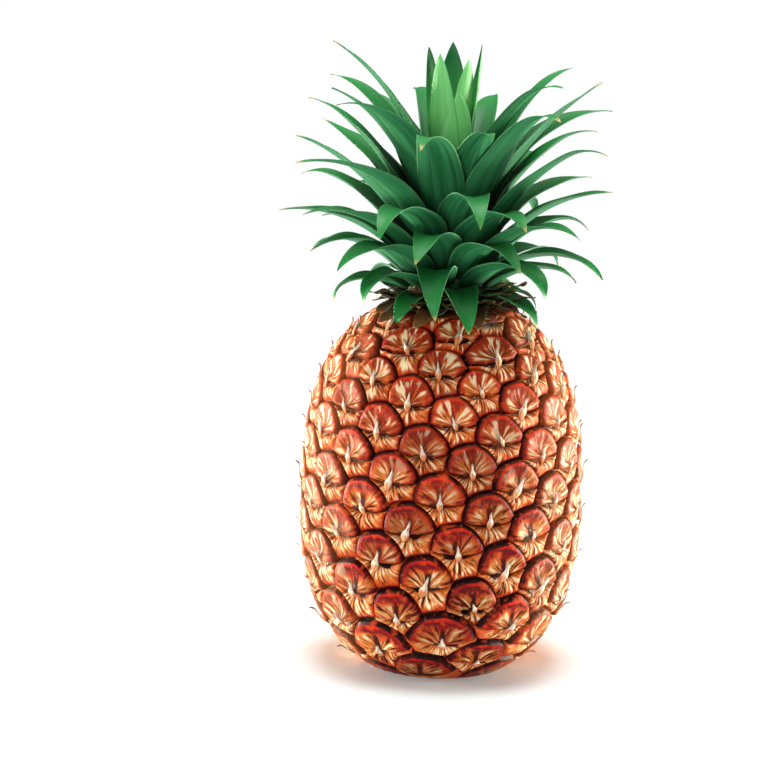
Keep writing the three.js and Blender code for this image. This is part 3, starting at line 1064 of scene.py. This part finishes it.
def bract_material():
    """Dry, papery and ribbed."""
    material, tree, skin = new_material("bract_paper", Roughness=0.62, Specular_IOR_Level=0.3)
    column, row, tone = (read(tree, name) for name in ("bract_column", "bract_row", "bract_tone"))
    ribs = noise(vector(times(column, 3.0), times(row, 1.2), times(tone, 60.0)), 1.6, 4.0)
    base = ramp(row, ((0, ORANGE), (0.25, TAN), (0.38, PAPER), (0.72, PAPER), (0.88, SPINE_BROWN)))
    color = tint(ease(ribs, 0.5, 0.64, 0.0, 0.7), base, CREAM)
    color = tint(ease(ribs, 0.45, 0.34, 0.0, 0.8), color, RUST)
    mottle = noise(object_place(tree), MOTTLE_SCALE)
    color = tint(ease(mottle, 0.52, 0.68, 0.0, 0.6), color, RUST)
    finish_skin(tree, skin, color, plus(ribs, times(mottle, 0.4)), 0.7, 0.6)
    return material


# %% [markdown]
# The tree reads the way out and the way up at each eye, turns those into a rotation, adds a small
# random twist from a fixed seed, and sets the bract there at the eye's own size.

# %% Bracts on the eyes
LEAST_RELIEF = 0.35
BRACT_TWIST = math.radians(30)
BRACT_LEAN = math.radians(9)
BRACT_SPREAD = 0.4
BRACT_SEED = 5


def random_value(low, high, seed):
    """A random number for each bract, from a fixed seed."""
    limits = {2: low, 3: high, "Seed": seed}
    return put(home(seed), "FunctionNodeRandomValue", limits, data_type="FLOAT").outputs[1]


def turned_by_chance(rotation, axis, most, seed):
    """Turns a rotation about its own axis by a random angle, up to the most either way."""
    tree, angle = home(rotation), random_value(times(most, -1.0), most, seed)
    turn = take(tree, "FunctionNodeAxisAngleToRotation", {"Axis": axis, "Angle": angle})
    inputs = {"Rotation": rotation, "Rotate By": turn}
    return take(tree, "FunctionNodeRotateRotation", inputs, rotation_space="LOCAL")


def bract_tree(template):
    """Sets the bract on every point of the mesh that it is given."""
    sockets = {"Twist": "Float", "Lean": "Float", "Spread": "Float", "Seed": "Int"}
    tree, inputs = new_tree("bracts_on_eyes", sockets)
    ways = {"Primary Axis": "way_out", "Secondary Axis": "way_up"}
    ways = {label: named(tree, name, "FLOAT_VECTOR") for label, name in ways.items()}
    options = {"primary_axis": "Z", "secondary_axis": "Y"}
    facing = take(tree, "FunctionNodeAxesToRotation", ways, **options)
    facing = turned_by_chance(facing, (0, 0, 1), inputs["Twist"], inputs["Seed"])
    facing = turned_by_chance(facing, (1, 0, 0), inputs["Lean"], inputs["Seed"])
    spread = random_value(0.0, inputs["Spread"], inputs["Seed"])
    size = times(named(tree, "eye_radius"), minus(1.0, spread))
    shape = put(tree, "GeometryNodeObjectInfo", {"Object": template}).outputs["Geometry"]
    values = {"Points": inputs["Geometry"], "Instance": shape, "Rotation": facing, "Scale": size}
    placed = take(tree, "GeometryNodeInstanceOnPoints", values)
    finish_tree(tree, placed, inputs["Material"])
    return tree


def bract_points():
    """One point on the smooth rind for each eye that stands up."""
    shown = relief_share(EYE_POINTS[:, 2]) > LEAST_RELIEF
    mesh = bpy.data.meshes.new("bract_points")
    mesh.from_pydata(EYE_POINTS[shown], [], [])
    store(mesh, "way_out", EYE_NORMALS[shown], "FLOAT_VECTOR")
    store(mesh, "way_up", UPWARD[shown], "FLOAT_VECTOR")
    store(mesh, "eye_radius", EYE_RADII[shown])
    store(mesh, "bract_tone", TONES[shown])
    return mesh


bract = bpy.data.objects.new("bract", bract_mesh())
chances = {"Twist": BRACT_TWIST, "Lean": BRACT_LEAN, "Spread": BRACT_SPREAD, "Seed": BRACT_SEED}
values = {**chances, "Material": bract_material()}
bracts = grow("bracts", bract_points(), bract_tree(bract), values)
bpy.data.objects.remove(bract)
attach(bracts, "root")
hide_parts("fruit")

# %% [markdown]
# ## The leaves of the crown
# The crown has sixty leaves on a short stem, from wide low ones that arch over the fruit to long
# steep ones at the top. A leaf is a shallow gutter that follows a curved middle line. So each leaf
# starts as a line of points that carry its width and the way its face looks. Its tip may hook down,
# or up a little. A geometry tree sweeps one cross-section along all the lines, then bends the gutter
# and waves its edges.

# %% Middle lines of the leaves
LEAF_COUNT = 60
LEAF_PHASE = math.radians(20)
CROWN_FOOT = FRUIT_HEIGHT + 0.4 * MM
ROOT_HEIGHT = ((0, 1), (0.35, 6), (0.6, 14), (1, 30))
ROOT_RADIUS = ((0, 11), (0.5, 11), (1, 4))
LEAF_LENGTH = ((0, 38), (0.12, 52), (0.25, 66), (0.35, 71), (0.45, 75), (0.65, 88), (0.75, 98), (1, 99))
LEAF_WIDTH = ((0, 17), (0.15, 21), (0.4, 24), (0.8, 25), (1, 21))
RISE_AT_ROOT = ((0, 30), (0.12, 44), (0.25, 52), (0.4, 58), (0.6, 63), (0.8, 69), (1, 76))
RISE_AT_TIP = (
    (0, -55), (0.12, -50), (0.25, -42), (0.35, -30),
    (0.45, -14), (0.65, 12), (0.85, 26), (1, 40),
)
ARCH_FORE_AND_AFT = 40
LEAF_CLEARANCE = ((0, 2.2), (18, 2.6), (34, 6.5))
LEAF_STEPS = 42
HOOK_START = 0.8
HOOK_AT_TIP = 45
CLASP_WIDTH = 0.6
CLASP_SHARES = (0.1, 0.45)
TIP_ROUNDNESS = 0.85
THINNEST_HALF = 0.15 * MM
ITEM_STEP, PURPOSE_STEP, SCRAMBLE = 12.9898, 78.233, 43758.5453


def jitter(i, purpose):
    """A repeatable number from -1 to 1 for item i, a different one for each purpose."""
    x = math.sin(i * ITEM_STEP + purpose * PURPOSE_STEP) * SCRAMBLE
    return 2 * (x - math.floor(x)) - 1


def along(stops, t):
    """The value at t on a line through a few stops."""
    return float(np.interp(t, [at for at, _ in stops], [value for _, value in stops]))


def crown_leaf(i):
    """The measures of leaf i, the lowest first."""
    t = i / (LEAF_COUNT - 1)
    azimuth = LEAF_PHASE - i * GOLDEN_ANGLE + 0.08 * jitter(i, 1)
    arch = ARCH_FORE_AND_AFT * math.sin(azimuth) ** 2
    return {
        "azimuth": azimuth,
        "root": CROWN_FOOT + along(ROOT_HEIGHT, t) * MM,
        "length": along(LEAF_LENGTH, t) * (1 + 0.07 * jitter(i, 2)) * MM,
        "width": along(LEAF_WIDTH, t) * (1 + 0.06 * jitter(i, 3)) * MM,
        "rise_at_root": math.radians(along(RISE_AT_ROOT, t) + 3 * jitter(i, 4)),
        "rise_at_tip": math.radians(along(RISE_AT_TIP, t) - arch + 12 * jitter(i, 5)),
        "bend": 1.5 + 0.4 * jitter(i, 6),
        "hook": math.radians(HOOK_AT_TIP * (0.6 * jitter(i, 8) - 0.4)),
        "sway": 0.16 * jitter(i, 7),
        "root_radius": along(ROOT_RADIUS, t) * MM,
        "fullness": 2.1,
        "clearance": LEAF_CLEARANCE,
        "tone": 0.5 + 0.5 * jitter(i, 11),
    }


def shoulder_height(radius):
    """The fruit's height at a distance from the axis, on its upper half."""
    if radius >= FRUIT_RADIUS:
        return WIDEST_HEIGHT
    rise = (1 - (radius / FRUIT_RADIUS) ** 2) ** (1 / FULLNESS)
    return min(FRUIT_HEIGHT, WIDEST_HEIGHT + UPPER_REACH * rise)


def midrib(leaf):
    """The leaf's middle line, which arches over and never dips into the fruit."""
    out, z, turn = leaf["root_radius"], leaf["root"], leaf["azimuth"]
    swing = leaf["rise_at_tip"] - leaf["rise_at_root"]
    step = leaf["length"] / LEAF_STEPS
    points = []
    for k in range(LEAF_STEPS + 1):
        share = k / LEAF_STEPS
        rest = shoulder_height(out) + along(leaf["clearance"], out / MM) * MM
        points.append(Vector((out * math.cos(turn), out * math.sin(turn), max(z, rest))))
        rise = leaf["rise_at_root"] + swing * share ** leaf["bend"]
        rise += leaf["hook"] * max(0, share - HOOK_START) / (1 - HOOK_START)
        out += step * math.cos(rise)
        z += step * math.sin(rise)
        turn += leaf["sway"] / LEAF_STEPS
    return points


def half_width(leaf, share):
    """Half the leaf's width at a share of its length."""
    start, end = CLASP_SHARES
    clasp = CLASP_WIDTH + (1 - CLASP_WIDTH) * smooth(min(1, max(0, (share - start) / (end - start))))
    return 0.5 * leaf["width"] * clasp * max(0.0, 1 - share ** leaf["fullness"]) ** TIP_ROUNDNESS


def leaf_lines(leaves):
    """All middle lines in one mesh of edges, with the numbers that the sweep needs."""
    points, edges, faces = [], [], []
    numbers = {"half_width": [], "along": [], "leaf_tone": []}
    for leaf in leaves:
        line = midrib(leaf)
        side = Vector((-math.sin(leaf["azimuth"]), math.cos(leaf["azimuth"]), 0))
        first = len(points)
        for k, point in enumerate(line):
            run = line[min(k + 1, LEAF_STEPS)] - line[max(k - 1, 0)]
            faces.append(run.cross(side).normalized())
            share = k / LEAF_STEPS
            numbers["half_width"].append(max(half_width(leaf, share), THINNEST_HALF))
            numbers["along"].append(share)
            numbers["leaf_tone"].append(leaf["tone"])
        points += line
        edges += [(first + k, first + k + 1) for k in range(LEAF_STEPS)]
    mesh = bpy.data.meshes.new("leaf_lines")
    mesh.from_pydata(points, edges, [])
    for name, values in numbers.items():
        store(mesh, name, values)
    store(mesh, "leaf_face", [value for face in faces for value in face], "FLOAT_VECTOR")
    return mesh


# %% [markdown]
# The cross-section is thin, with nine points over its flat upper side and nine over its round lower
# one. It knows which point is where across the leaf, and hands that number on to the swept surface.

# %% Cross-section and sweep
SECTION_POINTS = 9
SECTION_EDGE = 0.045
SECTION_SWELL = 0.075
EDGE_WAVES = 17.0
GUTTER_POWER = 1.5
GUTTER_FADE = 0.5


def section_mesh():
    """A closed thin section, one unit from its middle to its edge."""
    across = np.cos(np.linspace(np.pi, 0, SECTION_POINTS))
    thick = SECTION_EDGE + SECTION_SWELL * (1 - across**2)
    upper = [(0.0, a, 0.0) for a in across]
    lower = [(-t, a, 0.0) for a, t in zip(across[::-1], thick[::-1])]
    points = upper + lower
    count = len(points)
    mesh = bpy.data.meshes.new("leaf_section")
    mesh.from_pydata(points, [(i, (i + 1) % count) for i in range(count)], [])
    store(mesh, "across", [point[1] for point in points])
    store(mesh, "upper_side", [1.0] * SECTION_POINTS + [0.0] * SECTION_POINTS)
    return mesh


def leaf_tree(section):
    """Sweeps the section along every line, then shapes the gutter and the edges."""
    tree, inputs = new_tree("leaf_sweep", {"Gutter": "Float", "Wave": "Float"})
    line = take(tree, "GeometryNodeMeshToCurve", {"Mesh": inputs["Geometry"]})
    face = named(tree, "leaf_face", "FLOAT_VECTOR")
    line = take(tree, "GeometryNodeSetCurveNormal", {"Curve": line, "Normal": face}, mode="FREE")
    shape = put(tree, "GeometryNodeObjectInfo", {"Object": section}).outputs["Geometry"]
    ring = take(tree, "GeometryNodeMeshToCurve", {"Mesh": shape})
    half = named(tree, "half_width")
    sweep = {"Curve": line, "Profile Curve": ring, "Scale": half, "Fill Caps": True}
    blade = take(tree, "GeometryNodeCurveToMesh", sweep)
    across, far = named(tree, "across"), named(tree, "along")
    edge = calc("POWER", calc("ABSOLUTE", across), GUTTER_POWER)
    depth = times(inputs["Gutter"], minus(1.0, times(far, GUTTER_FADE)))
    beat = plus(times(far, EDGE_WAVES), times(named(tree, "leaf_tone"), TONES_APART))
    wave = times(times(calc("SINE", plus(beat, times(across, 2.0))), edge), inputs["Wave"])
    offset = scaled(face, plus(times(times(edge, half), depth), wave))
    shaped = take(tree, "GeometryNodeSetPosition", {"Geometry": blade, "Offset": offset})
    finish_tree(tree, shaped, inputs["Material"])
    return tree


# %% [markdown]
# ## Leaf green
# The upper side of a leaf is deep green and waxy. Down in the crown, where the leaves clasp each
# other, the leaves are painted darkest as shade, on both sides. Its underside has a pale bloom. Fine
# veins run the whole length, the very edge is pale, partly its own margin and partly a painted rim
# highlight, and the tips of some leaves have dried to straw.

# %% Leaf materials
ROOT_SHADE_GREEN = linear(4, 28, 14)
LEAF_GREEN = linear(5, 75, 31)
FRESH_GREEN = linear(26, 119, 50)
BLOOM_GREEN = linear(53, 132, 82)
EDGE_GREEN = linear(104, 164, 104)
STRAW = linear(176, 158, 96)
COLOR_SHARES = (0.0, 0.3, 0.6, 0.9, 1.0)


def vein_noise(across, far, tone):
    """Fine streaks along a leaf."""
    return noise(vector(times(across, 6.0), times(far, 1.6), times(tone, 50.0)), 1.0, 2.0)


def leaf_material(name, root_color, blade_color, tip_color, under_color):
    """Waxy leaf with veins, a pale edge that is partly a painted highlight and a drier tip; its root
    colour, on crown leaves and scales, is painted shade.
    """
    material, tree, skin = new_material(name, Roughness=0.5, Specular_IOR_Level=0.3)
    labels = ("across", "along", "upper_side", "leaf_tone")
    across, far, upper, tone = (read(tree, label) for label in labels)
    veins = vein_noise(across, far, tone)
    # The root colour fills the lowest part of the leaf and its underside; on crown leaves and scales it is
    # painted shade.
    colors = (root_color, root_color, blade_color, tip_color, tip_color)
    face = ramp(far, tuple(zip(COLOR_SHARES, colors)))
    face = tint(ease(veins, 0.4, 0.68, 0.0, 0.4), face, tip_color)
    under = tint(ease(veins, 0.35, 0.65, 0.0, 0.6), under_color, blade_color)
    under = tint(ease(far, 0.45, 0.1), under, root_color)
    color = tint(upper, under, face)
    # The pale edge is partly the leaf's own margin and partly a painted rim highlight.
    edge = ease(calc("ABSOLUTE", across), 0.93, 0.99, 0.0, 0.35)
    color = tint(times(edge, ease(far, 0.15, 0.4)), color, EDGE_GREEN)
    color = tint(times(ease(far, 0.95, 0.99), ease(tone, 0.4, 0.7)), color, STRAW)
    finish_skin(tree, skin, color, veins, 0.15, 0.4)
    return material


section = bpy.data.objects.new("leaf_section", section_mesh())
sweep_tree = leaf_tree(section)
leaf_green = leaf_material("crown_leaf_green", ROOT_SHADE_GREEN, LEAF_GREEN, FRESH_GREEN, BLOOM_GREEN)
crown_blades = grow(
    "crown_blades",
    leaf_lines([crown_leaf(i) for i in range(LEAF_COUNT)]),
    sweep_tree,
    {"Gutter": 0.34, "Wave": 0.35 * MM, "Material": leaf_green},
)
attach(crown_blades, "root")
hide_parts("crown_leaves")

# %% [markdown]
# ## The heart of the crown
# In the middle stand the youngest leaves, pale and nearly upright, with darker tips. They are made
# by the same tree from their own lines.

# %% Heart leaves
HEART_PHASE = math.radians(-75)
HEART_FOOT = 41.4 * MM
HEART_LENGTH = (56, 74, 76, 72, 76, 70)
HEART_WIDTH = 17 * MM
HEART_PALE = linear(124, 206, 120)
HEART_BLADE = linear(88, 190, 100)
HEART_TIP = linear(14, 104, 48)


def heart_leaf(i):
    """The measures of leaf i of the heart, the outermost first."""
    return {
        "azimuth": HEART_PHASE - i * GOLDEN_ANGLE,
        "root": CROWN_FOOT + HEART_FOOT,
        "length": HEART_LENGTH[i] * MM,
        "width": HEART_WIDTH,
        "rise_at_root": math.radians(80 + i),
        "rise_at_tip": math.radians(86 + 3 * jitter(i, 9)),
        "bend": 1.5,
        "hook": 0,
        "sway": 0.05 * jitter(i, 10),
        "root_radius": 3.6 * MM,
        "fullness": 4,
        "clearance": LEAF_CLEARANCE,
        "tone": 0.3 * i / len(HEART_LENGTH),
    }


heart_green = leaf_material("heart_leaf_green", HEART_PALE, HEART_BLADE, HEART_TIP, HEART_PALE)
heart_blades = grow(
    "heart_blades",
    leaf_lines([heart_leaf(i) for i in range(len(HEART_LENGTH))]),
    sweep_tree,
    {"Gutter": 0.3, "Wave": 0.2 * MM, "Material": heart_green},
)
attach(heart_blades, "root")
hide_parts("crown_heart")

# %% [markdown]
# ## Dry scales at the foot of the crown
# Between fruit and crown a collar of short scales has dried to brown and tan. They lie close on the
# top of the fruit and hide its smooth cap. Only their lines are new, and the sweep is the same.

# %% Dry scales
SCALE_COUNT = 55
SCALE_LENGTH = ((0, 30), (1, 17))
SCALE_WIDTH = 15
SCALE_CLEARANCE = ((0, 0.9), (20, 1.2), (45, 2.2))


def dry_scale(i):
    """The measures of scale i, the longest first."""
    t = i / (SCALE_COUNT - 1)
    return {
        "azimuth": -i * GOLDEN_ANGLE + 0.2 * jitter(i, 21),
        "root": FRUIT_HEIGHT + (1 + 3 * t) * MM,
        "length": along(SCALE_LENGTH, t) * (1 + 0.25 * jitter(i, 22)) * MM,
        "width": SCALE_WIDTH * (1 + 0.2 * jitter(i, 23)) * MM,
        "rise_at_root": math.radians(8 + 25 * t),
        "rise_at_tip": math.radians(-30 + 60 * t + 25 * jitter(i, 24)),
        "bend": 1.5,
        "hook": math.radians(HOOK_AT_TIP * jitter(i, 27)),
        "sway": 0.3 * jitter(i, 25),
        "root_radius": 14 * MM,
        "fullness": 1.7,
        "clearance": SCALE_CLEARANCE,
        "tone": 0.5 + 0.5 * jitter(i, 26),
    }


# The scales' dark root is painted shadow under the crown's lowest leaves.
SCALE_ROOT_SHADE = linear(20, 22, 12)
SCALE_BROWN = linear(58, 38, 20)
SCALE_TAN = linear(132, 80, 42)
scale_brown = leaf_material("dry_scale_brown", SCALE_ROOT_SHADE, SCALE_BROWN, SCALE_TAN, SCALE_BROWN)
crown_scales = grow(
    "crown_scales",
    leaf_lines([dry_scale(i) for i in range(SCALE_COUNT)]),
    sweep_tree,
    {"Gutter": 0.3, "Wave": 0.6 * MM, "Material": scale_brown},
)
bpy.data.objects.remove(section)
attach(crown_scales, "root")
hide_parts("crown_leaves")

# %% [markdown]
# ## The stem of the crown
# The leaves clasp a short stem that hardly shows. It is turned from the same outline as the solid's
# and given the dark green of the leaf bases.

# %% Crown stem
STEM_OUTLINE = ((0, 0), (14, 0), (16, 6), (18, 16), (13, 28), (6, 36), (0, 38))
STEM_SIDES = 48
SAME_POINT = 1e-6
STEM_DARK = linear(10, 34, 16)
STEM_GREEN = linear(40, 84, 36)
SCAR_SCALE = 180.0


def turned(name, outline, lift, sides):
    """A closed shape turned round the upright axis, from (radius, height) pairs in millimetres."""
    shape = bmesh.new()
    verts = [shape.verts.new((r * MM, 0, lift + z * MM)) for r, z in outline]
    edges = [shape.edges.new(pair) for pair in zip(verts, verts[1:])]
    around = {"cent": (0, 0, 0), "axis": (0, 0, 1), "angle": 2 * math.pi, "steps": sides}
    bmesh.ops.spin(shape, geom=verts + edges, **around)
    bmesh.ops.remove_doubles(shape, verts=shape.verts, dist=SAME_POINT)
    bmesh.ops.recalc_face_normals(shape, faces=shape.faces)
    for face in shape.faces:
        face.smooth = True
    return add_object(name, mesh_of(shape, name))


def stem_material():
    """Dark scaly green."""
    material, tree, skin = new_material("stem_green", Roughness=0.6)
    scars = noise(object_place(tree), SCAR_SCALE, 4.0)
    color = tint(ease(scars, 0.35, 0.65), STEM_DARK, STEM_GREEN)
    finish_skin(tree, skin, color, scars, 0.5, 1)
    return material


crown_stem = turned("crown_stem", STEM_OUTLINE, CROWN_FOOT, STEM_SIDES)
crown_stem.data.materials.append(stem_material())
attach(crown_stem, "root")
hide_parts("crown_leaves")
print("crown stem:", len(crown_stem.data.polygons), "faces")

# %% [markdown]
# ## The cut stalk
# Underneath, the stub of the stalk is cut off flush. Its solid has the right shape, so it only needs
# a finish: dry straw-coloured fibres, and a darker bark at the edge.

# %% Stalk finish
FIBRE_BROWN = linear(150, 116, 70)
FIBRE_PALE = linear(224, 202, 150)
BARK = linear(92, 62, 38)
BARK_FROM_TO = (10.5 * MM, 12.3 * MM)
FIBRE_SCALE = 1400.0


def stalk_material():
    """Dry cut fibres with a darker rim."""
    material, tree, skin = new_material("stalk_fibre", Roughness=0.85)
    place = object_place(tree)
    across, deep = axes(place)[:2]
    fibres = noise(place, FIBRE_SCALE)
    color = tint(ease(fibres, 0.35, 0.65), FIBRE_BROWN, FIBRE_PALE)
    color = tint(ease(distance(across, deep), *BARK_FROM_TO), color, BARK)
    finish_skin(tree, skin, color, fibres, 0.6, 0.5)
    return material


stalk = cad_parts["stalk"]
stalk.data.materials.clear()
stalk.data.materials.append(stalk_material())
print("stalk keeps its solid:", len(stalk.data.polygons), "faces")

# %% [markdown]
# ## Finish
# The view layer is updated once more. The finished pineapple may only be a little larger than the
# solids.

# %% Finish
bpy.context.view_layer.update()
